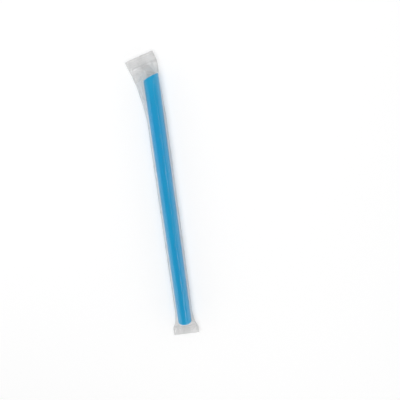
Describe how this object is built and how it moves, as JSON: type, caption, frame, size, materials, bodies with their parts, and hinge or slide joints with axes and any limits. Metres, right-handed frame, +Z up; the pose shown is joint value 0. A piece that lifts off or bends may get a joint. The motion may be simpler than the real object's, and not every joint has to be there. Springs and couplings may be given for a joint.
{
  "type": "wrapped drinking straw",
  "caption": "Wide plastic drinking straw with one slanted tip, sealed in a clear film sleeve with flat crimped ends, lying on its side.",
  "frame": {"origin": "on the flat underside of the sleeve's fin seal, straight below the middle of the straw's length", "axes": "+Y along the straw towards its slanted tip, +Z up as it lies, +X to the right when seen from above with the tip away"},
  "size_m": [0.0299, 0.2727, 0.0129],
  "materials": {
    "straw_plastic": "smooth extruded polypropylene, bright sky blue, slightly translucent",
    "clear_film": "thin clear packaging film, glossy, faintly hazy and creased, crimped where it is sealed"
  },
  "bodies": {
    "root": {"straw": "straw_plastic", "wrapper": "clear_film"}
  },
  "joints": []
}
